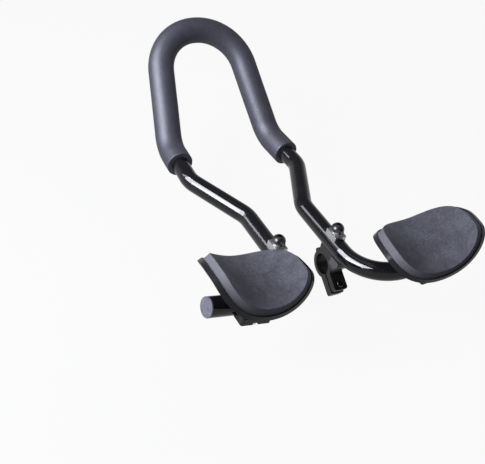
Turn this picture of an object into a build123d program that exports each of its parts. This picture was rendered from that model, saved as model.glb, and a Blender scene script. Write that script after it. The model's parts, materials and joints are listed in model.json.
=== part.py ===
from build123d import *
from math import asin, copysign, cos, degrees, radians, sin, tan
import os

# Clip-on aero extension for a bicycle handlebar, in millimetres.
# Origin on the handlebar axis, midway between the two clamps.
# +X is the rider's right along the handlebar, +Y is forward, +Z is up.

# Bar tube: one length of round tube, level from its rear ends to the root of the loop
tube_diameter = 22.2
tube_wall = 2.0
tube_bar_gap = 7.2
tube_half_spacing = 40.0
rear_corner_y = -71.7
front_corner_y = 74.2
flare_half_width = 77.8
flare_corner_y = 155.8
loop_root_half_width = 73.8
loop_root_y = 231.2
loop_tilt = 41.8
loop_arm_length = 155.8
loop_half_width = 55.4
loop_apex_flat = 2.0
end_sweep = -2.3
end_rise = 11.7
end_length = 130.1
rear_bend_radius = 55.0
front_bend_radius = 35.5
flare_bend_radius = 35.3
loop_root_radius = 43.4

# Foam grip over the loop, pushed a little further along the right arm than the left
grip_thickness = 5.9
grip_end_right_y = 183.0
grip_end_left_y = 192.0
grip_edge_radius = 1.2
grip_clearance = 0.1

# End plugs
plug_flange = 1.6
plug_edge_radius = 0.6
plug_stem_length = 12.0
plug_clearance = 0.15

# Handlebar clamps
bar_diameter = 25.4
clamp_width = 18.0
clamp_wall = 5.0
split_slope = 32.0
split_gap = 2.4
pinch_margin = 12.3
lug_margin = 7.0
lug_step = 1.6
lug_thickness = 8.0
jaw_lug_thickness = 10.0
lug_corner_radius = 3.0
knuckle_radius = 3.9
knuckle_bar_gap = 0.2
knuckle_width = 6.0
hinge_pin_radius = 1.6
hinge_clearance = 0.1
cradle_front_inset = 0.7
cradle_rear_margin = 12.3
cradle_top_drop = 6.0
cradle_rear_depth = 7.0
cradle_neck_margin = 4.3
cradle_neck_height = 7.0
cradle_edge = 0.8
flat_inset = 2.2
flat_height = 0.8
seat_clearance = 0.05

# Bolts, nuts and washers
tube_bolt_diameter = 8.0
tube_bolt_y = 1.5
tube_bolt_head = 16.0
tube_bolt_head_height = 8.0
tube_bolt_head_rim = 1.5
tube_bolt_socket = 5.0
tube_bolt_socket_depth = 4.0
bolt_clearance = 0.2
thread_clearance = 0.1
bolt_bar_gap = 0.8
saddle_length = 20.0
saddle_width = 16.0
saddle_thickness = 4.4
saddle_skirt = 3.0
saddle_edge = 1.0
flat_washer_margin = 0.5
flat_washer_thickness = 1.8
spring_washer_diameter = 14.8
spring_washer_thickness = 2.6
spring_washer_slit = 1.6
spring_washer_slant = 25.0
small_bolt_diameter = 5.0
small_head_diameter = 8.5
small_head_height = 5.0
small_socket = 4.0
small_socket_depth = 2.6
small_nut_flats = 8.0
small_nut_height = 4.0
small_bolt_spare = 1.6
pinch_counterbore = 3.2

# Arm pads: a foam pad in a moulded tray, dished across the forearm
pad_end_inset = 51.1
pad_tilt_right = 7.6
pad_tilt_left = 1.4
pad_dish_radius = 62.8
pad_half_width = 51.1
pad_front_reach = 50.6
pad_rear_reach = 32.2
pad_front_fullness = 3.0
pad_rear_fullness = 2.4
pad_outline_steps = 18
pad_thickness = 10.4
pad_seat_gap = 0.1
cup_sink = 0.1
cup_crown = 1.4
cup_floor = 2.2
cup_lip_gap = 0.4
cup_lip_width = 1.0
cup_lip_height = 1.2
cup_skirt_depth = 2.2
cup_skirt_wall = 2.2
cup_rib_thickness = 3.0
cup_rib_offset = 15.0
cup_rib_inset = 6.0
cup_rib_depth = 5.0
saddle_block_half_length = 22.0
saddle_block_edge = 3.0
saddle_block_wall = 1.4
strap_half_length = 19.0
strap_shell_half_length = 12.0
strap_ear_depth = 10.2
strap_wall = 4.4
strap_gap = 1.6
strap_edge = 1.5
pad_bolt_wall = 2.4
pad_clamp_clearance = 0.05
pad_head_recess = 0.4

tube_radius = tube_diameter / 2
bar_radius = bar_diameter / 2
clamp_radius = bar_radius + clamp_wall
tube_height = bar_radius + tube_bar_gap + tube_radius
grip_radius = tube_radius + grip_thickness


def direction(slope, turn):
    """Unit vector rising by slope and turned from +X towards +Y by turn, in degrees."""
    level = cos(radians(slope))
    return Vector(level * cos(radians(turn)), level * sin(radians(turn)), sin(radians(slope)))


def mirrored(shape):
    """The same piece on the rider's left."""
    return mirror(shape, about=Plane.YZ)


# Corners of the tube's centre line on the right, from the outward end to the loop
rear_corner = Vector(tube_half_spacing, rear_corner_y, tube_height)
end_direction = direction(end_rise, end_sweep)
tube_end = rear_corner + end_direction * end_length
front_corner = Vector(tube_half_spacing, front_corner_y, tube_height)
flare_corner = Vector(flare_half_width, flare_corner_y, tube_height)
loop_root = Vector(loop_root_half_width, loop_root_y, tube_height)
loop_rise = direction(loop_tilt, 90) * loop_arm_length
loop_corner = Vector(loop_half_width, loop_root_y + loop_rise.Y, tube_height + loop_rise.Z)
loop_turn = (loop_corner - loop_root).get_angle(Vector(-1, 0, 0))
loop_radius = (loop_half_width - loop_apex_flat / 2) / tan(radians(loop_turn / 2))


def across(point):
    """The matching point on the rider's left."""
    return Vector(-point.X, point.Y, point.Z)


def bent_path(right_corners, left_corners, radii):
    """Centre line through corners on the right, then those on the left in reverse."""
    points = right_corners + [across(corner) for corner in reversed(left_corners)]
    return FilletPolyline(*points, radius=radii + radii[::-1])


def swept(path, section):
    """A round section carried along a path."""
    return sweep(Plane(path @ 0, z_dir=path % 0) * section, path=path)


tube_corners = [tube_end, rear_corner, front_corner, flare_corner, loop_root, loop_corner]
tube_radii = [rear_bend_radius, front_bend_radius, flare_bend_radius, loop_root_radius, loop_radius]
tube_path = bent_path(tube_corners, tube_corners, tube_radii)


def make_bar_tube():
    """The bent tube with a bolt hole down through each arm."""
    tube = swept(tube_path, Circle(tube_radius) - Circle(tube_radius - tube_wall))
    hole = Cylinder(tube_bolt_diameter / 2 + bolt_clearance, 2 * tube_diameter)
    for side in (-1, 1):
        tube -= Pos(side * tube_half_spacing, tube_bolt_y, tube_height) * hole
    return tube


def arm_point(y):
    """Point on the right arm's level run before the loop, at a given distance forward."""
    share = (y - flare_corner_y) / (loop_root_y - flare_corner_y)
    return flare_corner + (loop_root - flare_corner) * share


def make_foam_grip():
    """Foam sleeve round the loop, with its outer end edges rounded."""
    right = [arm_point(grip_end_right_y), loop_root, loop_corner]
    left = [arm_point(grip_end_left_y), loop_root, loop_corner]
    path = bent_path(right, left, [loop_root_radius, loop_radius])
    section = Circle(grip_radius) - Circle(tube_radius + grip_clearance)
    grip = swept(path, section)
    rims = grip.edges().filter_by(GeomType.CIRCLE)
    rims = [rim for rim in rims if abs(rim.radius - grip_radius) < grip_clearance]
    ends = [path @ 0, path @ 1]
    rims = [rim for rim in rims if min((rim.arc_center - end).length for end in ends) < grip_clearance]
    return fillet(rims, grip_edge_radius)


def make_end_plug():
    """Plastic plug in the right end of the tube: a flange over the end and a stem inside."""
    seat = Plane(tube_end, z_dir=end_direction)
    flange = extrude(Circle(tube_radius), plug_flange)
    flange = fillet(flange.faces().sort_by(Axis.Z)[-1].edges(), plug_edge_radius)
    stem = extrude(Circle(tube_radius - tube_wall - plug_clearance), -plug_stem_length)
    return seat * (flange + stem)


# Handlebar clamp, made on the handlebar axis and then moved out to its arm
pinch_reach = clamp_radius + pinch_margin
lug_reach = pinch_reach + lug_margin
hinge_reach = bar_radius + knuckle_radius + knuckle_bar_gap
cradle_top = tube_height - cradle_top_drop
cradle_low = cradle_top - cradle_rear_depth
cradle_front_y = bar_radius - cradle_front_inset
cradle_rear_y = -clamp_radius - cradle_rear_margin
cradle_neck_y = -clamp_radius - cradle_neck_margin
seat_cutter = swept(tube_path, Circle(tube_radius + seat_clearance))


def side_profile(sketch, width):
    """A profile in the upright fore-and-aft plane, given width across the clamp."""
    return extrude(Plane.YZ * sketch, width / 2, both=True)


def split_frame(shape):
    """Turn a shape made with a level split so that the split falls towards the rear."""
    return Rot(split_slope, 0, 0) * shape


def cross_cylinder(radius, width, y, z):
    """A cylinder that lies across the clamp."""
    return Pos(0, y, z) * Rot(0, 90, 0) * Cylinder(radius, width)


def half_space(upper):
    """A block that covers everything on one side of the split, half a gap away from it."""
    reach = 4 * lug_reach
    side = 1 if upper else -1
    return Pos(0, 0, side * (split_gap / 2 + reach / 2)) * Box(reach, reach, reach)


def pinch_lug(upper):
    """Rear lug on one side of the split."""
    side = 1 if upper else -1
    height = split_gap / 2 + (lug_thickness if upper else jaw_lug_thickness)
    reach = lug_reach if upper else lug_reach + lug_step
    lug = Pos(0, -reach / 2, side * height / 2) * Box(clamp_width, reach, height)
    corners = lug.edges().filter_by(Axis.Z).group_by(Axis.Y)[0]
    return fillet(corners, lug_corner_radius)


def outer_knuckles(radius, spare):
    """The two hinge knuckles at the clamp's side faces."""
    width = (clamp_width - knuckle_width) / 2 - spare
    place = (clamp_width - width) / 2
    knuckle = cross_cylinder(radius, width, hinge_reach, 0)
    return Pos(place, 0, 0) * knuckle + Pos(-place, 0, 0) * knuckle


def middle_knuckle(radius, spare):
    """The hinge knuckle between the other two."""
    return cross_cylinder(radius, knuckle_width - 2 * spare, hinge_reach, 0)


def clamp_half(upper):
    """Ring half with its lug, before the hinge is cut."""
    ring = cross_cylinder(clamp_radius, clamp_width, 0, 0)
    return (ring + pinch_lug(upper)) & half_space(upper)


def make_clamp_jaw():
    """Lower half of the clamp, with the middle hinge knuckle and the lower pinch lug."""
    jaw = clamp_half(upper=False) - outer_knuckles(knuckle_radius + hinge_clearance, -hinge_clearance)
    jaw += middle_knuckle(knuckle_radius, hinge_clearance)
    jaw -= cross_cylinder(bar_radius, 2 * clamp_width, 0, 0)
    jaw -= cross_cylinder(hinge_pin_radius + hinge_clearance, 2 * clamp_width, hinge_reach, 0)
    jaw -= Pos(0, -pinch_reach, 0) * Cylinder(small_bolt_diameter / 2 + bolt_clearance, 4 * jaw_lug_thickness)
    return split_frame(jaw)


def cradle_outline():
    """Side view of the block under the tube."""
    return make_face(Polyline((cradle_front_y, cradle_top), (cradle_rear_y, cradle_top), (cradle_rear_y, cradle_low),
                              (cradle_neck_y, cradle_neck_height), (cradle_front_y, 0), close=True))


def rear_flat():
    """Flat on the side of the cradle's rear shoulder."""
    top = cradle_top - flat_inset
    rear = cradle_rear_y + flat_inset
    front = -bar_radius
    neck_low = cradle_neck_height + flat_inset
    return make_face(Polyline((front, top), (rear, top), (rear, cradle_low), (cradle_neck_y + flat_inset / 2, neck_low),
                              (front + flat_inset, neck_low + flat_inset), close=True))


def make_clamp_body():
    """Upper half of the clamp: ring half, upper lug, outer knuckles and the tube's cradle."""
    half = clamp_half(upper=True) - middle_knuckle(knuckle_radius + hinge_clearance, 0)
    half += outer_knuckles(knuckle_radius, hinge_clearance)
    half = split_frame(half)
    cradle = side_profile(cradle_outline(), clamp_width)
    cradle &= split_frame(half_space(upper=True))
    cradle = chamfer(cradle.edges().filter_by(Axis.X), cradle_edge)
    body = half + cradle + side_profile(rear_flat(), clamp_width + 2 * flat_height)
    body -= split_frame(middle_knuckle(knuckle_radius + hinge_clearance, 0))
    body -= cross_cylinder(bar_radius, 2 * clamp_width, 0, 0)
    body -= split_frame(cross_cylinder(hinge_pin_radius + hinge_clearance, 2 * clamp_width, hinge_reach, 0))
    body -= Pos(-tube_half_spacing, 0, 0) * seat_cutter
    body -= Pos(0, tube_bolt_y, tube_height) * Cylinder(tube_bolt_diameter / 2 + thread_clearance, 2 * tube_height)
    return body - split_frame(pinch_hole())


def pinch_hole():
    """Bolt hole and counterbore in the upper lug, with a level split."""
    top = split_gap / 2 + lug_thickness
    shank = Cylinder(small_bolt_diameter / 2 + bolt_clearance, 4 * lug_thickness)
    head = extrude(Circle(small_head_diameter / 2 + bolt_clearance), 3 * lug_thickness)
    return Pos(0, -pinch_reach, 0) * (shank + Pos(0, 0, top - pinch_counterbore) * head)


def socket_bolt(length):
    """Small cap bolt, head above the origin and shank below it."""
    head = extrude(Circle(small_head_diameter / 2), small_head_height)
    head = chamfer(head.faces().sort_by(Axis.Z)[-1].edges(), small_head_height / 10)
    socket = extrude(RegularPolygon(small_socket / 2, 6, major_radius=False), -small_socket_depth)
    shank = extrude(Circle(small_bolt_diameter / 2), -length)
    return head - Pos(0, 0, small_head_height) * socket + shank


def small_nut():
    """Hexagon nut, its top face at the origin."""
    nut = extrude(RegularPolygon(small_nut_flats / 2, 6, major_radius=False), -small_nut_height)
    corner = small_nut_flats / 2 / cos(radians(30))
    nut &= chamfer(extrude(Circle(corner), -small_nut_height).edges(), corner - small_nut_flats / 2)
    return nut - Cylinder(small_bolt_diameter / 2 + thread_clearance, 4 * small_nut_height)


def make_pinch_bolt():
    """Bolt that draws the clamp's two lugs together."""
    seat = split_gap / 2 + lug_thickness - pinch_counterbore
    far = split_gap / 2 + jaw_lug_thickness + small_nut_height + small_bolt_spare
    return split_frame(Pos(0, -pinch_reach, seat) * socket_bolt(seat + far))


def make_pinch_nut():
    """Nut under the lower lug."""
    return split_frame(Pos(0, -pinch_reach, -split_gap / 2 - jaw_lug_thickness) * small_nut())


def make_hinge_pin():
    """Pin through the three knuckles."""
    return split_frame(cross_cylinder(hinge_pin_radius, clamp_width, hinge_reach, 0))


# Bolt stack on the tube, from the saddle up to the head, made about the bolt's own axis
saddle_top = tube_height + tube_radius + saddle_thickness
flat_washer_top = saddle_top + flat_washer_thickness
spring_washer_top = flat_washer_top + spring_washer_thickness
tube_bolt_hole = Cylinder(tube_bolt_diameter / 2 + bolt_clearance, 4 * tube_height)


def make_saddle_washer():
    """Saddle with a flat top and a hollow underside that fits the tube."""
    height = saddle_thickness + saddle_skirt
    block = Pos(0, 0, saddle_top - height / 2) * Box(saddle_width, saddle_length, height)
    block = fillet(block.edges().filter_by(Axis.Z), saddle_edge)
    block = chamfer(block.faces().sort_by(Axis.Z)[-1].edges(), saddle_edge / 2)
    return block - Pos(-tube_half_spacing, 0, 0) * seat_cutter - tube_bolt_hole


def make_flat_washer():
    """Flat washer on the saddle."""
    return Pos(0, 0, saddle_top) * extrude(Circle(tube_bolt_head / 2 + flat_washer_margin), flat_washer_thickness) - tube_bolt_hole


def make_spring_washer():
    """Split spring washer under the bolt head."""
    ring = Pos(0, 0, flat_washer_top) * extrude(Circle(spring_washer_diameter / 2), spring_washer_thickness)
    slit = Box(spring_washer_slit, spring_washer_diameter, 3 * spring_washer_thickness)
    middle = Pos(0, -spring_washer_diameter / 2, flat_washer_top + spring_washer_thickness / 2)
    return ring - tube_bolt_hole - middle * Rot(0, spring_washer_slant, 0) * slit


def make_tube_bolt():
    """Dome-head bolt down through washers, tube and clamp body."""
    radius = tube_bolt_head / 2
    rise = tube_bolt_head_height - tube_bolt_head_rim
    dome_radius = (radius ** 2 + rise ** 2) / (2 * rise)
    lean = asin(min(1, radius / dome_radius)) / 2
    crown = tube_bolt_head_height - dome_radius
    middle = (dome_radius * sin(lean), crown + dome_radius * cos(lean))
    rim = Polyline((0, tube_bolt_head_height), (0, 0), (radius, 0), (radius, tube_bolt_head_rim))
    dome = ThreePointArc((radius, tube_bolt_head_rim), middle, (0, tube_bolt_head_height))
    head = revolve(Plane.XZ * make_face(rim + dome), Axis.Z)
    socket = extrude(RegularPolygon(tube_bolt_socket / 2, 6, major_radius=False), -tube_bolt_socket_depth)
    head -= Pos(0, 0, tube_bolt_head_height) * socket
    shank = extrude(Circle(tube_bolt_diameter / 2), -(spring_washer_top - bar_radius - bolt_bar_gap))
    return Pos(0, 0, spring_washer_top) * (head + shank)


# Arm pad, made with the tube axis along X, +Y forward and the dish opening upwards
floor_height = tube_radius + pad_clamp_clearance - cup_sink
crown_radius = tube_radius + pad_clamp_clearance + cup_crown
pad_bottom_radius = pad_dish_radius + pad_thickness
floor_radius = pad_bottom_radius + pad_seat_gap
dish_axis_height = floor_height + floor_radius
cup_radius = floor_radius + cup_floor
skirt_radius = cup_radius + cup_skirt_depth
lip_radius = floor_radius - cup_lip_height
strap_bottom = -strap_gap / 2 - strap_ear_depth
nut_seat = strap_bottom + small_nut_height
pad_bolt_offset = tube_radius + pad_bolt_wall + small_bolt_diameter / 2 + bolt_clearance
saddle_block_half_width = pad_bolt_offset + small_head_diameter / 2 + bolt_clearance + saddle_block_wall
pad_half_angle = degrees(asin(pad_half_width / pad_dish_radius))
pad_rim_grow = cup_lip_gap + cup_lip_width
pad_frame = Plane(tube_end - end_direction * pad_end_inset, x_dir=end_direction,
                  z_dir=direction(end_rise + 90, end_sweep))


def dish_cylinder(radius):
    """Round bar along the dish axis, which runs fore and aft above the pad."""
    length = 4 * (pad_front_reach + pad_rear_reach)
    return Pos(0, 0, dish_axis_height) * Rot(90, 0, 0) * Cylinder(radius, length)


def bulged(value, fullness):
    """A sine or cosine made fuller, so that an ellipse swells towards a rounded oblong."""
    return copysign(abs(value) ** (2 / fullness), value)


def outline_at(depth, grow):
    """Pad outline on a level plane below the dish axis: a long full front and a short rear."""
    spread = 1 + grow / (floor_radius * radians(pad_half_angle))
    marks = [step / pad_outline_steps for step in range(pad_outline_steps + 1)]
    points = []
    for mark in marks:
        turn = radians(90 + 180 * mark)
        ahead = sin(turn) > 0
        fullness = pad_front_fullness if ahead else pad_rear_fullness
        reach = (pad_front_reach if ahead else pad_rear_reach) + grow
        angle = spread * asin(pad_half_width * bulged(cos(turn), fullness) / pad_dish_radius)
        points.append((depth * tan(angle), reach * bulged(sin(turn), fullness)))
    halves = []
    for side in (1, -1):
        run = [(side * x, y) for x, y in points[::side]]
        ways = [Vector(run[1][0] * pad_outline_steps, 0, 0), Vector(-run[-2][0] * pad_outline_steps, 0, 0)]
        halves.append(Edge.make_spline(run, tangents=ways, parameters=marks, scale=False))
    return Pos(0, 0, dish_axis_height - depth) * make_face(halves)


def pad_wedge(grow):
    """All that lies inside the outline as seen from the dish axis, so edges stand square to the dish."""
    return loft([outline_at(depth, grow) for depth in (pad_dish_radius / 3, 1.5 * skirt_radius)], ruled=True)


def make_pad_foam():
    """Foam pad that lines the cup, relieved below where the cup is raised over the tube."""
    slab = dish_cylinder(pad_bottom_radius) - dish_cylinder(pad_dish_radius)
    return (pad_wedge(0) & slab) - tube_line(crown_radius + pad_seat_gap)


def cup_rib(y):
    """Rib under the dish, from the saddle block out to both sides."""
    half_angle = radians(pad_half_angle - degrees(cup_rib_inset / cup_radius))
    reach = cup_radius * sin(half_angle)
    top = dish_axis_height - cup_radius * cos(half_angle)
    foot = saddle_block_half_length
    low = strap_gap / 2
    outline = make_face(Polyline((-foot, low), (foot, low), (reach, top), (-reach, top), close=True))
    return Pos(0, y, 0) * extrude(Plane.XZ * outline, cup_rib_thickness / 2, both=True)


def cup_spine():
    """Rib along the middle of the underside, tapering to the front and rear rims."""
    low = strap_gap / 2 + cup_rib_depth
    top = floor_height
    front = pad_front_reach - cup_rib_inset
    rear = -pad_rear_reach + cup_rib_inset
    block = saddle_block_half_width
    outline = make_face(Polyline((front, top), (front, top - cup_floor - cup_rib_depth / 2), (block, low),
                                 (-block, low), (rear, top - cup_floor - cup_rib_depth / 2), (rear, top),
                                 close=True))
    return extrude(Plane.YZ * outline, cup_rib_thickness / 2, both=True)


def tube_line(radius):
    """Round bar along the tube end, longer than the pad is wide."""
    return cross_cylinder(radius, 4 * pad_half_width, 0, 0)


def pad_bolt_places():
    """Where the two clamp bolts stand, ahead of and behind the tube."""
    return [Pos(0, side * pad_bolt_offset, 0) for side in (-1, 1)]


def make_pad_cup():
    """Moulded tray with a lip, a skirt all round, ribs, and the upper half of the tube clamp."""
    whole = pad_wedge(pad_rim_grow)
    tray = whole & (dish_cylinder(skirt_radius) - dish_cylinder(lip_radius))
    tray -= pad_wedge(pad_rim_grow - cup_skirt_wall) - dish_cylinder(cup_radius)
    block_height = dish_axis_height / 2
    block = Pos(0, 0, strap_gap / 2 + block_height / 2) * Box(
        2 * saddle_block_half_length, 2 * saddle_block_half_width, block_height)
    block = fillet(block.edges().filter_by(Axis.Z), saddle_block_edge)
    under = block + cup_rib(cup_rib_offset) + cup_rib(-cup_rib_offset) + cup_spine()
    room = dish_cylinder(floor_radius) - tube_line(crown_radius)
    cup = tray + ((under & whole) - room)
    cup -= pad_wedge(cup_lip_gap) & room
    cup -= tube_line(tube_radius + pad_clamp_clearance)
    head_seat = floor_height - small_head_height - pad_head_recess
    head = extrude(Circle(small_head_diameter / 2 + bolt_clearance), dish_axis_height)
    shank = Cylinder(small_bolt_diameter / 2 + bolt_clearance, 2 * dish_axis_height)
    for place in pad_bolt_places():
        cup -= place * (Pos(0, 0, head_seat) * head + shank)
    return cup


def nut_pocket():
    """Slot in the strap's underside for one nut, open to the front."""
    width = small_nut_flats + 2 * bolt_clearance
    length = 2 * saddle_block_half_width
    start = -small_nut_flats / 2 / cos(radians(30)) - bolt_clearance
    return Pos(0, start + length / 2, nut_seat - length / 2) * Box(width, length, length)


def make_pad_strap():
    """Lower half of the pad's tube clamp: a half-round shell between two thick ears."""
    ears = Pos(0, 0, strap_bottom + strap_ear_depth / 2) * Box(
        2 * strap_half_length, 2 * saddle_block_half_width, strap_ear_depth)
    ears = fillet(ears.edges().filter_by(Axis.Z), saddle_block_edge)
    ears = chamfer(ears.faces().sort_by(Axis.Z)[0].edges(), strap_edge)
    shell = cross_cylinder(tube_radius + pad_clamp_clearance + strap_wall, 2 * strap_shell_half_length, 0, 0)
    under = Pos(0, 0, -strap_gap / 2 - dish_axis_height / 2) * Box(
        4 * strap_half_length, 4 * saddle_block_half_width, dish_axis_height)
    strap = (shell & under) + ears - tube_line(tube_radius + pad_clamp_clearance)
    shank = Cylinder(small_bolt_diameter / 2 + bolt_clearance, 2 * dish_axis_height)
    for side in (-1, 1):
        turn = Rot(0, 0, 90 - 90 * side)
        strap -= turn * Pos(0, pad_bolt_offset, 0) * (shank + nut_pocket())
    return strap


def make_pad_bolts():
    """The two bolts, heads sunk in the cup's floor under the foam."""
    seat = floor_height - small_head_height - pad_head_recess
    length = seat - strap_bottom + small_bolt_spare
    return [place * Pos(0, 0, seat) * socket_bolt(length) for place in pad_bolt_places()]


def make_pad_nuts():
    """The two nuts in the strap's pockets, flats to the pocket walls."""
    return [place * Pos(0, 0, nut_seat) * Rot(0, 0, 30) * small_nut() for place in pad_bolt_places()]


def save(name, shapes):
    """Write one node: a single solid, or a group of separate like solids."""
    solids = [solid for shape in shapes for solid in shape.solids()]
    export_step(solids[0] if len(solids) == 1 else Compound(solids), f"parts/{name}.step")


def save_pair(name, shapes):
    """Write a piece for the rider's right and its mirror image for the left."""
    save(f"{name}_right", shapes)
    save(f"{name}_left", [mirrored(shape) for shape in shapes])


os.makedirs("parts", exist_ok=True)
save("bar_tube", [make_bar_tube()])
save("foam_grip", [make_foam_grip()])
save_pair("end_plug", [make_end_plug()])

clamp_pieces = {
    "clamp_body": make_clamp_body,
    "clamp_jaw": make_clamp_jaw,
    "hinge_pin": make_hinge_pin,
    "pinch_bolt": make_pinch_bolt,
    "pinch_nut": make_pinch_nut,
}
for name, make in clamp_pieces.items():
    save_pair(name, [Pos(tube_half_spacing, 0, 0) * make()])

bolt_pieces = {
    "saddle_washer": make_saddle_washer,
    "flat_washer": make_flat_washer,
    "spring_washer": make_spring_washer,
    "tube_bolt": make_tube_bolt,
}
for name, make in bolt_pieces.items():
    save_pair(name, [Pos(tube_half_spacing, tube_bolt_y, 0) * make()])

pad_pieces = {
    "pad_foam": lambda: [make_pad_foam()],
    "pad_cup": lambda: [make_pad_cup()],
    "pad_strap": lambda: [make_pad_strap()],
    "pad_bolts": make_pad_bolts,
    "pad_nuts": make_pad_nuts,
}
for name, make in pad_pieces.items():
    shapes = make()
    save(f"{name}_right", [pad_frame * Rot(pad_tilt_right, 0, 0) * shape for shape in shapes])
    save(f"{name}_left", [mirrored(pad_frame * Rot(pad_tilt_left, 0, 0) * shape) for shape in shapes])
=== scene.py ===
import json
import math

import bmesh
import bpy
from mathutils import Matrix, Vector, noise


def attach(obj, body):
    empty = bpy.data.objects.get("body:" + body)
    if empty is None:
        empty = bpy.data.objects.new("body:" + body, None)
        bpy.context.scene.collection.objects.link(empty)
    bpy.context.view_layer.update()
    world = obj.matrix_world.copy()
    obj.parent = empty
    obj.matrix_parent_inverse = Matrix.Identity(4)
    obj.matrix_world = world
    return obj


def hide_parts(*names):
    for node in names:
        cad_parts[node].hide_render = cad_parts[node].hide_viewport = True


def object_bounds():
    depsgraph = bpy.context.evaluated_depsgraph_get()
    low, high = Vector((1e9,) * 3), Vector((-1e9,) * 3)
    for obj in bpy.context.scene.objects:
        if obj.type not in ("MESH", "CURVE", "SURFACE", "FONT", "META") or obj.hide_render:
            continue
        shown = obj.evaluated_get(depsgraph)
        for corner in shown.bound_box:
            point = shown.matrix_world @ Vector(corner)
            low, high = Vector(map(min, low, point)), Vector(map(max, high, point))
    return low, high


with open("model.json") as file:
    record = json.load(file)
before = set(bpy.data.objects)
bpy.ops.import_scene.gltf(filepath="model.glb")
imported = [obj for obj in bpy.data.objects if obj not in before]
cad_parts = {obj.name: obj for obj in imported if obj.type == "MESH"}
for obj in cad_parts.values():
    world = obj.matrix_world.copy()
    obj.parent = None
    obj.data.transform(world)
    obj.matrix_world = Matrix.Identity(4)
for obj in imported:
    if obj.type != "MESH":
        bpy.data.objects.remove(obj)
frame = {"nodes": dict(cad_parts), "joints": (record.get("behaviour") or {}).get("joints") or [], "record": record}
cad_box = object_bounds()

# Looks of a clip-on aero extension: bent gloss-black tube, foam grip, dished foam arm pads.
# Metres, in the part's own frame: +X the rider's right, +Y forward, +Z up.

nodes = frame["nodes"]
scene = bpy.context.scene
MM = 0.001

# Grip: the loop that it follows and its section, as in the part's source
flare_corner = Vector((77.8, 155.8, 31.0)) * MM
loop_root = Vector((73.8, 231.2, 31.0)) * MM
loop_root_radius = 43.4 * MM
loop_tilt = math.radians(41.8)
loop_arm = 155.8 * MM
loop_half_width = 55.4 * MM
loop_flat = 2.0 * MM
grip_end_right = 183.0 * MM
grip_end_left = 192.0 * MM
grip_radius = 17.0 * MM
grip_bore = 11.2 * MM
grip_edge = 1.2 * MM

# Grip: how fine its mesh is, and its unevenness, with scales in waves per metre
grip_step = 2.0 * MM
grip_around = 72
grip_edge_rings = 6
grip_face_shares = (0, 0.06, 0.5, 0.94, 1)
grip_bore_skip = 4
fewest_arc_steps = 4
grip_swell = 0.12 * MM
grip_swell_ease = 15.0 * MM
grip_swell_scale = 30.0
grip_ripple_share = 0.15
grip_ripple_scale = 90.0

# Arm pads: dish, outline and seat, as in the part's source
pad_dish_radius = 62.8 * MM
pad_half_width = 51.1 * MM
pad_front_reach = 50.6 * MM
pad_rear_reach = 32.2 * MM
pad_front_fullness = 3.0
pad_rear_fullness = 2.4
pad_thickness = 10.4 * MM
pad_floor_height = 11.05 * MM
pad_seat_gap = 0.1 * MM
pad_tilts = {"right": math.radians(7.6), "left": math.radians(1.4)}
dish_axis_height = pad_floor_height + pad_dish_radius + pad_thickness + pad_seat_gap

# Arm pads: how fine the mesh is, broken upper edge, waisted side and slight swelling
pad_around = 240
pad_face_rings = 44
pad_edge_rings = 6
pad_side_rings = 12
pad_edge = 0.6 * MM
pad_edge_unevenness = 0.5
pad_waist = 0.35 * MM
pad_base_share = 0.75
pad_base_rise = 1.6 * MM
pad_swell = 0.22 * MM
pad_swell_scale = 38.0
pad_ripple = 0.08 * MM
pad_ripple_scale = 120.0

# Clamps: the raised flats on their shoulders, painted lighter as a highlight, measured from the middle of each
# clamp
clamp_centre = 40.0 * MM
flat_from = 9.35 * MM
flat_to = 9.6 * MM
# Unevenness of the edge of the painted highlight on the flats
highlight_edge_jitter = 0.2 * MM

# Camera, with the picture's own sizes in pixels and the sensor's in millimetres
photo_width = 485
photo_height = 464
focal_pixels = 840.99
axis_at = (241.2, 220.04)
eye = Vector((-497.14, -589.35, 636.58)) * MM
yaw = math.radians(34.18)
elevation = math.radians(37.28)
roll = math.radians(-11.9)
sensor_width = 36.0
nearest_shown = 10.0 * MM

# Studio
floor_size = (60.0, 60.0)
floor_gap = 0.5 * MM
floor_white_share = 0.93
world_strength = 0.05
lamp_colour = (0.93, 0.95, 1.0)
lit_middle = Vector((0, 0.1, 0.05))
panel_place = (-2.256, 0.369, 1.70)
panel_size = (2.89, 2.1)
strip_place = (-1.96, 1.972, 1.70)
strip_size = (0.37, 2.1)

# Most values of a noise lie between these
noise_span = (0.3, 0.7)


# Node helpers
def new_material(name):
    """A node material with its shader."""
    material = bpy.data.materials.new(name)
    material.use_nodes = True
    tree = material.node_tree
    shader = tree.nodes["Principled BSDF"]
    return material, tree, shader


def place_coords(tree):
    """Coordinates in metres that stay with the piece."""
    return tree.nodes.new("ShaderNodeTexCoord").outputs["Object"]


def grain(tree, coords, scale, detail=3.0, roughness=0.55, distortion=0.0):
    """Noise of a given fineness, in bumps per metre."""
    node = tree.nodes.new("ShaderNodeTexNoise")
    node.inputs["Scale"].default_value = scale
    node.inputs["Detail"].default_value = detail
    node.inputs["Roughness"].default_value = roughness
    node.inputs["Distortion"].default_value = distortion
    tree.links.new(coords, node.inputs["Vector"])
    return node.outputs["Fac"]


def cells(tree, coords, scale):
    """Rounded cells of a given fineness, in cells per metre."""
    node = tree.nodes.new("ShaderNodeTexVoronoi")
    node.inputs["Scale"].default_value = scale
    tree.links.new(coords, node.inputs["Vector"])
    return node.outputs["Distance"]


def ramp(tree, value, stops):
    """Colours along a value."""
    node = tree.nodes.new("ShaderNodeValToRGB")
    band = node.color_ramp
    while len(band.elements) < len(stops):
        band.elements.new(0.5)
    for element, (place, colour) in zip(band.elements, stops):
        element.position = place
        element.color = (*colour, 1)
    tree.links.new(value, node.inputs["Fac"])
    return node.outputs["Color"]


def two_tone(tree, value, dark, light):
    """A dark and a light colour along a noise."""
    return ramp(tree, value, [(noise_span[0], dark), (noise_span[1], light)])


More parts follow.
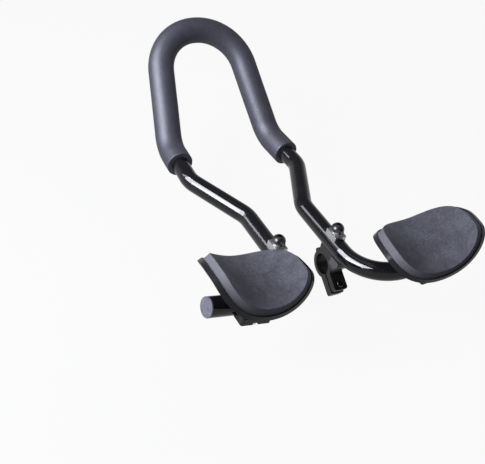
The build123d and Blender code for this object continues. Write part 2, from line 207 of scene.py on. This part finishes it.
def spread(tree, value, span, wanted):
    """A value moved from one range to another."""
    node = tree.nodes.new("ShaderNodeMapRange")
    sockets = ("From Min", "From Max", "To Min", "To Max")
    for socket, number in zip(sockets, (*span, *wanted)):
        node.inputs[socket].default_value = number
    tree.links.new(value, node.inputs["Value"])
    return node.outputs["Result"]


def arithmetic(tree, operation, *items):
    """One sum on values and numbers."""
    node = tree.nodes.new("ShaderNodeMath")
    node.operation = operation
    for socket, item in zip(node.inputs, items):
        if isinstance(item, (int, float)):
            socket.default_value = item
        else:
            tree.links.new(item, socket)
    return node.outputs["Value"]


def plus_share(tree, value, other, share):
    """A value with a share of another added to it."""
    return arithmetic(tree, "MULTIPLY_ADD", other, share, value)


def vary_roughness(tree, shader, value, smooth, rough):
    """Roughness that follows a noise."""
    tree.links.new(spread(tree, value, noise_span, (smooth, rough)), shader.inputs["Roughness"])


def ease_gloss(tree, shader, facing, shine):
    """Gloss that fades towards the limb of a round piece."""
    limb = tree.nodes.new("ShaderNodeLayerWeight").outputs["Facing"]
    tree.links.new(spread(tree, limb, facing, shine), shader.inputs["Specular IOR Level"])


def add_sheen(shader, tint):
    """Faint cool sheen of a fine foam skin."""
    shader.inputs["Sheen Weight"].default_value = 0.03
    shader.inputs["Sheen Roughness"].default_value = 0.5
    shader.inputs["Sheen Tint"].default_value = (*tint, 1)


def bump(tree, shader, height, strength, depth):
    """Relief on the shader's normal."""
    node = tree.nodes.new("ShaderNodeBump")
    node.inputs["Strength"].default_value = strength
    node.inputs["Distance"].default_value = depth
    tree.links.new(height, node.inputs["Height"])
    tree.links.new(node.outputs["Normal"], shader.inputs["Normal"])


# Materials
def gloss_black():
    """Smooth gloss enamel with a faint orange peel."""
    material, tree, shader = new_material("gloss_black_enamel")
    coords = place_coords(tree)
    cloud = grain(tree, coords, scale=35, detail=4)
    peel = grain(tree, coords, scale=900, detail=2)
    colour = two_tone(tree, cloud, dark=(0.006, 0.006, 0.0075), light=(0.010, 0.010, 0.0125))
    tree.links.new(colour, shader.inputs["Base Color"])
    vary_roughness(tree, shader, cloud, smooth=0.07, rough=0.12)
    ease_gloss(tree, shader, facing=(0.4, 0.85), shine=(0.25, 0.1))
    bump(tree, shader, peel, strength=0.006, depth=0.2 * MM)
    return material


def grip_foam():
    """Closed-cell foam sleeve with a smooth satin skin."""
    material, tree, shader = new_material("grip_foam_skin")
    coords = place_coords(tree)
    cloud = grain(tree, coords, scale=70, detail=5)
    speckle = grain(tree, coords, scale=620, detail=3, roughness=0.6)
    pores = cells(tree, coords, scale=1500)
    fine = grain(tree, coords, scale=2600, detail=4, roughness=0.65)
    faint_cloud = arithmetic(tree, "MULTIPLY", cloud, 0.4)
    shade = plus_share(tree, faint_cloud, speckle, share=0.6)
    relief = plus_share(tree, fine, pores, share=0.5)
    colour = ramp(tree, shade, [(0.4, (0.034, 0.033, 0.045)), (0.6, (0.049, 0.048, 0.063))])
    tree.links.new(colour, shader.inputs["Base Color"])
    vary_roughness(tree, shader, speckle, smooth=0.46, rough=0.58)
    ease_gloss(tree, shader, facing=(0.35, 0.75), shine=(0.25, 0.05))
    shader.inputs["Specular Tint"].default_value = (0.84, 0.87, 1.0, 1)
    add_sheen(shader, tint=(0.8, 0.84, 1.0))
    bump(tree, shader, relief, strength=0.25, depth=0.15 * MM)
    return material


def pad_skin():
    """Foam pad's fine-grained upper face, mottled by handling."""
    material, tree, shader = new_material("pad_foam_skin")
    coords = place_coords(tree)
    cloud = grain(tree, coords, scale=60, detail=6, roughness=0.62, distortion=0.6)
    patches = grain(tree, coords, scale=400, detail=4, roughness=0.65)
    pores = cells(tree, coords, scale=1500)
    fine = grain(tree, coords, scale=2000, detail=4, roughness=0.65)
    faint_cloud = arithmetic(tree, "MULTIPLY", cloud, 0.5)
    mottle = plus_share(tree, faint_cloud, patches, share=0.5)
    relief = plus_share(tree, fine, pores, share=0.6)
    colour = ramp(tree, mottle, [
        (0.4, (0.057, 0.056, 0.072)),
        (0.5, (0.077, 0.077, 0.096)),
        (0.6, (0.099, 0.101, 0.120)),
    ])
    tree.links.new(colour, shader.inputs["Base Color"])
    vary_roughness(tree, shader, fine, smooth=0.58, rough=0.7)
    shader.inputs["Specular IOR Level"].default_value = 0.2
    shader.inputs["Specular Tint"].default_value = (0.88, 0.92, 1.0, 1)
    add_sheen(shader, tint=(0.85, 0.88, 1.0))
    bump(tree, shader, relief, strength=0.4, depth=0.2 * MM)
    return material


def pad_cut():
    """Cut edge of the foam: open cells, a little paler than the skin."""
    material, tree, shader = new_material("pad_foam_cut_edge")
    coords = place_coords(tree)
    cloud = grain(tree, coords, scale=160, detail=5, roughness=0.65)
    pores = cells(tree, coords, scale=1100)
    fine = grain(tree, coords, scale=1500, detail=4, roughness=0.7)
    relief = plus_share(tree, fine, pores, share=0.9)
    colour = two_tone(tree, fine, dark=(0.105, 0.105, 0.124), light=(0.19, 0.191, 0.216))
    tree.links.new(colour, shader.inputs["Base Color"])
    vary_roughness(tree, shader, cloud, smooth=0.78, rough=0.9)
    shader.inputs["Specular IOR Level"].default_value = 0.04
    bump(tree, shader, relief, strength=0.22, depth=0.3 * MM)
    return material


def moulded(name, dark, light, grain_scale, rough, relief, shine=0.25, cloud_scale=80):
    """Moulded plastic or paint with a fine spark-eroded grain."""
    material, tree, shader = new_material(name)
    coords = place_coords(tree)
    cloud = grain(tree, coords, scale=cloud_scale, detail=4)
    fine = grain(tree, coords, scale=grain_scale, detail=3, roughness=0.6)
    tree.links.new(two_tone(tree, cloud, dark, light), shader.inputs["Base Color"])
    vary_roughness(tree, shader, fine, *rough)
    shader.inputs["Specular IOR Level"].default_value = shine
    bump(tree, shader, fine, strength=relief, depth=0.15 * MM)
    return material


def metal(name, dark, light, rough, mark_scale):
    """Plated steel with faint polish marks."""
    material, tree, shader = new_material(name)
    coords = place_coords(tree)
    cloud = grain(tree, coords, scale=120, detail=4)
    marks = grain(tree, coords, scale=mark_scale, detail=5, roughness=0.7, distortion=0.6)
    tree.links.new(two_tone(tree, cloud, dark, light), shader.inputs["Base Color"])
    vary_roughness(tree, shader, marks, *rough)
    shader.inputs["Metallic"].default_value = 1.0
    bump(tree, shader, marks, strength=0.05, depth=0.1 * MM)
    return material


def clamp_paint():
    """Satin black paint, with a painted highlight: lighter grey on the raised flats of the shoulders, where they
    would catch the light.
    """
    material = moulded(
        "clamp_satin_paint", dark=(0.008, 0.008, 0.009), light=(0.013, 0.013, 0.0145),
        grain_scale=1800, rough=(0.3, 0.42), relief=0.18)
    tree = material.node_tree
    base_colour = tree.nodes["Principled BSDF"].inputs["Base Color"]
    paint = base_colour.links[0].from_socket
    coords = place_coords(tree)
    split = tree.nodes.new("ShaderNodeSeparateXYZ")
    tree.links.new(coords, split.inputs["Vector"])
    sideways = arithmetic(tree, "ABSOLUTE", split.outputs["X"])
    from_clamp = arithmetic(tree, "SUBTRACT", sideways, clamp_centre)
    from_middle = arithmetic(tree, "ABSOLUTE", from_clamp)
    # Painted highlight: a lighter grey on the raised flats, with a slightly uneven edge, stands in for light
    # caught by the flat faces
    highlight_edge_noise = grain(tree, coords, scale=420, detail=4, roughness=0.6)
    highlight_reach = plus_share(tree, from_middle, highlight_edge_noise, highlight_edge_jitter)
    highlight_mask = spread(tree, highlight_reach, (flat_from, flat_to), (0, 1))
    highlight_grain = grain(tree, coords, scale=900)
    painted_highlight = two_tone(tree, highlight_grain, dark=(0.06, 0.06, 0.068), light=(0.085, 0.085, 0.094))
    mix = tree.nodes.new("ShaderNodeMix")
    mix.data_type = "RGBA"
    tree.links.new(highlight_mask, mix.inputs["Factor"])
    tree.links.new(paint, mix.inputs["A"])
    tree.links.new(painted_highlight, mix.inputs["B"])
    tree.links.new(mix.outputs["Result"], base_colour)
    return material


# One finish for each material slot of the record
looks = {
    "gloss_black_tube": gloss_black(),
    "grip_foam": grip_foam(),
    "pad_foam": pad_skin(),
    "cup_plastic": moulded(
        "cup_plastic_grain", dark=(0.013, 0.013, 0.015), light=(0.020, 0.020, 0.023),
        grain_scale=2200, rough=(0.28, 0.38), relief=0.2, shine=0.15),
    "clamp_black": clamp_paint(),
    "plug_plastic": moulded(
        "plug_plastic_grain", dark=(0.07, 0.07, 0.093), light=(0.15, 0.15, 0.19),
        grain_scale=1500, rough=(0.32, 0.45), relief=0.2, cloud_scale=400),
    "dark_chrome": metal(
        "dark_chrome_plate", dark=(0.06, 0.06, 0.064), light=(0.09, 0.09, 0.095),
        rough=(0.28, 0.4), mark_scale=700),
    "bright_steel": metal(
        "bright_steel_plate", dark=(0.36, 0.36, 0.375), light=(0.48, 0.48, 0.495),
        rough=(0.3, 0.45), mark_scale=900),
    "small_steel": metal(
        "small_steel_zinc", dark=(0.5, 0.5, 0.51), light=(0.62, 0.62, 0.63),
        rough=(0.25, 0.4), mark_scale=900),
}
cut_edge = pad_cut()
black_pin = metal(
    "black_oxide_pin", dark=(0.02, 0.02, 0.021), light=(0.035, 0.035, 0.036),
    rough=(0.35, 0.5), mark_scale=900)


def finish_of(part):
    """The finish of one piece of the frame: its slot's, or black oxide on the hinge pins."""
    if part["node"].startswith("hinge_pin"):
        return black_pin
    return looks[part["material_slot"]]


for part in frame["record"]["subparts"]:
    materials = nodes[part["node"]].data.materials
    materials.clear()
    materials.append(finish_of(part))


# Mesh helpers
def add_piece(name, builder, materials):
    """A new smooth-shaded object from a bmesh."""
    mesh = bpy.data.meshes.new(name)
    builder.to_mesh(mesh)
    builder.free()
    for material in materials:
        mesh.materials.append(material)
    for face in mesh.polygons:
        face.use_smooth = True
    piece = bpy.data.objects.new(name, mesh)
    scene.collection.objects.link(piece)
    return piece


def join_rings(builder, low, high, finish=0):
    """Faces between two rings of as many points, in one of the piece's finishes."""
    count = len(low)
    for i in range(count):
        j = (i + 1) % count
        face = builder.faces.new((low[i], high[i], high[j], low[j]))
        face.material_index = finish


def cap_ring(builder, tip, ring, finish):
    """Faces from one point to a ring, in one of the piece's finishes."""
    for low, high in zip(ring, ring[1:] + ring[:1]):
        face = builder.faces.new((tip, low, high))
        face.material_index = finish


# Grip: a sleeve along straight runs with round corners
def rounded_line(corners, radii, step):
    """Points along a line of straight runs whose inner corners are arcs, and the way it heads at each."""
    points = []
    start = corners[0]
    for before, corner, after, radius in zip(corners, corners[1:], corners[2:], radii):
        come = (corner - before).normalized()
        leave = (after - corner).normalized()
        turn = come.angle(leave)
        trim = radius * math.tan(turn / 2)
        arc_start = corner - come * trim
        run = (arc_start - start).length
        count = max(1, round(run / step))
        points += [(start + come * run * i / count, come) for i in range(count)]
        inward = (leave - come * come.dot(leave)).normalized()
        count = max(fewest_arc_steps, round(radius * turn / step))
        for i in range(count):
            angle = turn * i / count
            place = arc_start + come * radius * math.sin(angle) + inward * radius * (1 - math.cos(angle))
            points.append((place, come * math.cos(angle) + inward * math.sin(angle)))
        start = corner + leave * trim
    last = (corners[-1] - corners[-2]).normalized()
    run = (corners[-1] - start).length
    count = max(1, round(run / step))
    points += [(start + last * run * i / count, last) for i in range(count + 1)]
    return points


def across(point):
    """The matching point on the rider's left."""
    return Vector((-point.x, point.y, point.z))


def arm_point(y):
    """Point on the right arm before the loop, at a given distance forward."""
    share = (y - flare_corner.y) / (loop_root.y - flare_corner.y)
    return flare_corner.lerp(loop_root, share)


def grip_line():
    """Centre line of the sleeve, from its right end round the loop to its left end."""
    rise = Vector((0, math.cos(loop_tilt), math.sin(loop_tilt))) * loop_arm
    loop_corner = Vector((loop_half_width, loop_root.y + rise.y, loop_root.z + rise.z))
    turn = (loop_corner - loop_root).angle(Vector((-1, 0, 0)))
    loop_radius = (loop_half_width - loop_flat / 2) / math.tan(turn / 2)
    corners = [
        arm_point(grip_end_right), loop_root, loop_corner,
        across(loop_corner), across(loop_root), across(arm_point(grip_end_left)),
    ]
    radii = [loop_root_radius, loop_radius, loop_radius, loop_root_radius]
    return rounded_line(corners, radii, grip_step)


def grip_stations():
    """Places along the sleeve, each with the way it heads and a sideways direction that never twists."""
    line = grip_line()
    side = Vector((0, 0, 1)).cross(line[0][1]).normalized()
    stations = []
    for place, heading in line:
        side = (side - heading * side.dot(heading)).normalized()
        stations.append((place, heading, side))
    return stations


def grip_ring(builder, station, radius, forward=0.0, swell=0.0):
    """Points round the sleeve at a station, moved along it by a little and made uneven."""
    place, heading, side = station
    up = heading.cross(side)
    verts = []
    for i in range(grip_around):
        angle = 2 * math.pi * i / grip_around
        outward = side * math.cos(angle) + up * math.sin(angle)
        spot = place + outward * radius
        ripple = grip_ripple_share * noise.noise(spot * grip_ripple_scale)
        wave = noise.noise(spot * grip_swell_scale) + ripple
        verts.append(builder.verts.new(spot + outward * swell * wave + heading * forward))
    return verts


def grip_end(builder, station, inward):
    """Rings of one end, from the bore across the end face and round its broken edge."""
    flat = grip_radius - grip_edge
    rings = []
    for share in grip_face_shares:
        rings.append(grip_ring(builder, station, grip_bore + (flat - grip_bore) * share))
    for i in range(1, grip_edge_rings):
        angle = math.pi / 2 * i / grip_edge_rings
        forward = inward * grip_edge * (1 - math.cos(angle))
        rings.append(grip_ring(builder, station, flat + grip_edge * math.sin(angle), forward))
    return rings


def make_grip():
    """Foam sleeve with broken end edges and the slight unevenness of foam drawn over a bent tube."""
    builder = bmesh.new()
    stations = grip_stations()
    first = stations[0]
    last = stations[-1]
    rings = grip_end(builder, first, 1)
    for station in stations:
        reach = min((station[0] - first[0]).length, (station[0] - last[0]).length)
        if reach > grip_edge:
            swell = grip_swell * min(1, reach / grip_swell_ease)
            rings.append(grip_ring(builder, station, grip_radius, swell=swell))
    rings += reversed(grip_end(builder, last, -1))
    for station in reversed(stations[grip_bore_skip:-grip_bore_skip:grip_bore_skip]):
        rings.append(grip_ring(builder, station, grip_bore))
    for low, high in zip(rings, rings[1:] + rings[:1]):
        join_rings(builder, low, high)
    bmesh.ops.recalc_face_normals(builder, faces=builder.faces)
    return add_piece("grip_sleeve", builder, [looks["grip_foam"]])


# Arm pads, each in a frame of its own: outward along the tube's end, forward, and up
def bulged(value, fullness):
    """A sine or cosine made fuller."""
    return math.copysign(abs(value) ** (2 / fullness), value)


def pad_outline(turn):
    """Angle round the dish and distance along it of the foam's edge."""
    ahead = math.sin(turn) > 0
    fullness = pad_front_fullness if ahead else pad_rear_fullness
    reach = pad_front_reach if ahead else pad_rear_reach
    angle = math.asin(pad_half_width * bulged(math.cos(turn), fullness) / pad_dish_radius)
    return angle, reach * bulged(math.sin(turn), fullness)


def pad_point(angle, y, depth):
    """Point round the dish, along it, and below the foam's upper face."""
    radius = pad_dish_radius + depth
    return Vector((radius * math.sin(angle), y, dish_axis_height - radius * math.cos(angle)))


def pad_swelling(point):
    """Slight swelling of the face at a point."""
    swell = pad_swell * noise.noise(point * pad_swell_scale)
    return swell + pad_ripple * noise.noise(point * pad_ripple_scale)


def pad_ring(builder, inset, depth, share=1.0, unevenness=0.0):
    """Points round the foam, in from its edge, below its face, and a share of the way from its middle."""
    verts = []
    for i in range(pad_around):
        angle, y = pad_outline(2 * math.pi * (i + 0.5) / pad_around)
        keep = share * (1 - inset / math.hypot(angle * pad_dish_radius, y))
        spot = pad_point(angle * keep, y * keep, depth)
        below = depth + unevenness * pad_swelling(spot)
        verts.append(builder.verts.new(pad_point(angle * keep, y * keep, below)))
    return verts


def pad_upper_rings(builder):
    """Rings of the upper face, from its middle out and round its broken edge."""
    rings = []
    for i in range(1, pad_face_rings + 1):
        share = math.sin(math.pi / 2 * i / pad_face_rings)
        rings.append(pad_ring(builder, pad_edge, 0, share, unevenness=1.0))
    for i in range(1, pad_edge_rings + 1):
        angle = math.pi / 2 * i / pad_edge_rings
        inset = pad_edge * (1 - math.sin(angle))
        depth = pad_edge * (1 - math.cos(angle))
        rings.append(pad_ring(builder, inset, depth, unevenness=pad_edge_unevenness))
    return rings


def pad_lower_rings(builder):
    """Rings of the cut side, slightly waisted, and one on the underside."""
    rings = []
    for i in range(1, pad_side_rings + 1):
        share = i / pad_side_rings
        depth = pad_edge + (pad_thickness - pad_edge) * share
        rings.append(pad_ring(builder, pad_waist * math.sin(math.pi * share), depth))
    rings.append(pad_ring(builder, 0, pad_thickness, pad_base_share))
    return rings


def pad_pose(side):
    """Pose of a pad's frame on its joint, at the turn at which it rests."""
    joint = next(j for j in frame["joints"] if j["child"] == f"{side}_pad")
    axis = Vector(joint["axis"]).normalized()
    ahead = Vector((0, 0, 1)).cross(axis).normalized()
    outward = axis if side == "right" else -axis
    axes = Matrix((outward, ahead, axis.cross(ahead))).transposed()
    tilt = Matrix.Rotation(pad_tilts[side], 3, "X")
    return Matrix.Translation(Vector(joint["pos_m"])) @ (axes @ tilt).to_4x4()


def make_pad(side):
    """Foam pad: fine-grained dished face, softly broken upper edge, cut sides."""
    skin, cut = 0, 1
    builder = bmesh.new()
    upper = pad_upper_rings(builder)
    lower = [upper[-1]] + pad_lower_rings(builder)
    middle = builder.verts.new(pad_point(0, 0, 0))
    base = builder.verts.new(pad_point(0, 0, pad_thickness - pad_base_rise))
    cap_ring(builder, middle, upper[0], skin)
    for rings, finish in ((upper, skin), (lower, cut)):
        for low, high in zip(rings, rings[1:]):
            join_rings(builder, low, high, finish)
    cap_ring(builder, base, lower[-1], cut)
    bmesh.ops.transform(builder, matrix=pad_pose(side), verts=builder.verts)
    bmesh.ops.recalc_face_normals(builder, faces=builder.faces)
    return add_piece(f"arm_pad_{side}", builder, [looks["pad_foam"], cut_edge])


grip = make_grip()
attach(grip, "bar")
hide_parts("foam_grip")

for side in ("left", "right"):
    pad = make_pad(side)
    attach(pad, f"{side}_pad")
    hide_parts(f"pad_foam_{side}")


# Camera at the photograph's angle
def camera_axes():
    """The picture's right and up, and the way back to the eye."""
    level = Vector((math.cos(yaw), -math.sin(yaw), 0))
    ahead = Vector((math.sin(yaw), math.cos(yaw), 0))
    forward = ahead * math.cos(elevation) - Vector((0, 0, math.sin(elevation)))
    down = forward.cross(level)
    image_right = level * math.cos(roll) + down * math.sin(roll)
    image_down = down * math.cos(roll) - level * math.sin(roll)
    return Matrix((image_right, -image_down, -forward)).transposed()


def make_camera():
    """Camera at the photograph's place, with its framing."""
    data = bpy.data.cameras.new("photo_camera")
    data.sensor_width = sensor_width
    data.lens = focal_pixels / photo_width * sensor_width
    data.shift_x = (photo_width / 2 - axis_at[0]) / photo_width
    data.shift_y = (axis_at[1] - photo_height / 2) / photo_width
    data.clip_start = nearest_shown
    camera = bpy.data.objects.new("photo_camera", data)
    camera.matrix_world = Matrix.Translation(eye) @ camera_axes().to_4x4()
    scene.collection.objects.link(camera)
    scene.camera = camera


# Studio: a plain pale floor, white to the eye, and soft light
def bare_tree(owner):
    """The emptied node tree of a material or the world."""
    owner.use_nodes = True
    owner.node_tree.nodes.clear()
    return owner.node_tree


def flat_sheet(size):
    """A level rectangle about the origin: a square of one metre, stretched."""
    builder = bmesh.new()
    bmesh.ops.create_grid(builder, x_segments=1, y_segments=1, size=0.5)
    bmesh.ops.scale(builder, vec=(*size, 1), verts=builder.verts)
    return builder


def send_out(tree, kind, shader):
    """Send a shader to the output of its tree."""
    output = tree.nodes.new(kind)
    tree.links.new(shader, output.inputs["Surface"])


def seen_directly(tree):
    """One for rays that show the background: from the camera, or by gloss or glass."""
    path = tree.nodes.new("ShaderNodeLightPath")
    seen = arithmetic(tree, "MAXIMUM", path.outputs["Is Camera Ray"], path.outputs["Is Glossy Ray"])
    return arithmetic(tree, "MAXIMUM", seen, path.outputs["Is Transmission Ray"])


def glowing(tree, colour, strength):
    """A shader that gives light of its own."""
    node = tree.nodes.new("ShaderNodeEmission")
    node.inputs["Color"].default_value = (*colour, 1)
    node.inputs["Strength"].default_value = strength
    return node.outputs["Emission"]


def mixed(tree, share, first, second):
    """Two shaders mixed, with a share of the second."""
    node = tree.nodes.new("ShaderNodeMixShader")
    tree.links.new(share, node.inputs["Fac"])
    tree.links.new(first, node.inputs[1])
    tree.links.new(second, node.inputs[2])
    return node.outputs["Shader"]


def make_floor():
    """Large level floor just under the object, which keeps the object's shadow."""
    builder = flat_sheet(floor_size)
    lowest = cad_box[0][2]
    bmesh.ops.translate(builder, vec=(0, 0, lowest - floor_gap), verts=builder.verts)
    material = bpy.data.materials.new("pale_floor")
    tree = bare_tree(material)
    paper = tree.nodes.new("ShaderNodeBsdfDiffuse")
    cloud = grain(tree, place_coords(tree), scale=3)
    colour = two_tone(tree, cloud, dark=(0.31, 0.31, 0.315), light=(0.33, 0.33, 0.335))
    tree.links.new(colour, paper.inputs["Color"])
    white = glowing(tree, (1, 1, 1), 1.0)
    share = arithmetic(tree, "MULTIPLY", seen_directly(tree), floor_white_share)
    send_out(tree, "ShaderNodeOutputMaterial", mixed(tree, share, paper.outputs["BSDF"], white))
    floor = add_piece("floor", builder, [material])


def make_world():
    """White all round at eye level, greyer overhead, with a low even light."""
    world = bpy.data.worlds.new("studio")
    tree = bare_tree(world)
    coords = tree.nodes.new("ShaderNodeTexCoord")
    split = tree.nodes.new("ShaderNodeSeparateXYZ")
    tree.links.new(coords.outputs["Generated"], split.inputs["Vector"])
    shown = tree.nodes.new("ShaderNodeBackground")
    sky = ramp(tree, split.outputs["Z"], [(0.05, (0.95, 0.95, 0.95)), (0.5, (0.2, 0.2, 0.21))])
    tree.links.new(sky, shown.inputs["Color"])
    lit = tree.nodes.new("ShaderNodeBackground")
    lit.inputs["Color"].default_value = (0.9, 0.93, 1.0, 1)
    lit.inputs["Strength"].default_value = world_strength
    both = mixed(tree, seen_directly(tree), lit.outputs["Background"], shown.outputs["Background"])
    send_out(tree, "ShaderNodeOutputWorld", both)
    scene.world = world


def facing_middle(place):
    """The pose of a lamp or panel at a place that faces the middle of the object."""
    place = Vector(place)
    turn = (lit_middle - place).to_track_quat("-Z", "Y")
    return Matrix.Translation(place) @ turn.to_matrix().to_4x4()


def softbox(name, place, size, power):
    """Rectangular soft light, out of the picture, that faces the middle of the object."""
    light = bpy.data.lights.new(name, "AREA")
    light.shape = "RECTANGLE"
    light.size, light.size_y = size
    light.energy = power
    light.color = lamp_colour
    lamp = bpy.data.objects.new(name, light)
    lamp.visible_camera = False
    lamp.matrix_world = facing_middle(place)
    scene.collection.objects.link(lamp)
    return lamp


def glow_panel(name, place, size, strength):
    """Clear glowing panel, out of the picture, that is met only by the rays that gloss reflects."""
    builder = flat_sheet(size)
    material = bpy.data.materials.new(name)
    material.cycles.emission_sampling = "NONE"
    tree = bare_tree(material)
    clear = tree.nodes.new("ShaderNodeBsdfTransparent")
    both = tree.nodes.new("ShaderNodeAddShader")
    tree.links.new(clear.outputs["BSDF"], both.inputs[0])
    tree.links.new(glowing(tree, lamp_colour, strength), both.inputs[1])
    send_out(tree, "ShaderNodeOutputMaterial", both.outputs["Shader"])
    panel = add_piece(name, builder, [material])
    panel.matrix_world = facing_middle(place)
    panel.visible_camera = False
    panel.visible_diffuse = False
    panel.visible_transmission = False
    panel.visible_shadow = False
    return panel


def light_only(lamp, piece):
    """Let a lamp or panel light one piece alone."""
    lit = bpy.data.collections.new(f"lit_by_{lamp.name}")
    lit.objects.link(piece)
    lamp.light_linking.receiver_collection = lit


make_camera()
make_floor()
make_world()
softbox("key_left", place=(-0.92, 0.05, 0.62), size=(0.5, 0.5), power=20)
softbox("overhead", place=(0.1, 0.3, 1.8), size=(1.2, 1.2), power=4)
fill = softbox("fill_right", place=(1.5, 0.4, 0.9), size=(1.2, 1.2), power=8)
fill.visible_glossy = False

# A large panel on the left, dimmer at its front, that shows only in the gloss of the grip and the tube
tube = nodes["bar_tube"]
grip_panel = softbox("grip_panel_left", panel_place, panel_size, power=695)
grip_panel.visible_diffuse = False
light_only(grip_panel, grip)
light_only(glow_panel("tube_panel_left", panel_place, panel_size, strength=36), tube)
light_only(glow_panel("tube_panel_front", strip_place, strip_size, strength=14), tube)

scene.view_settings.view_transform = "Standard"
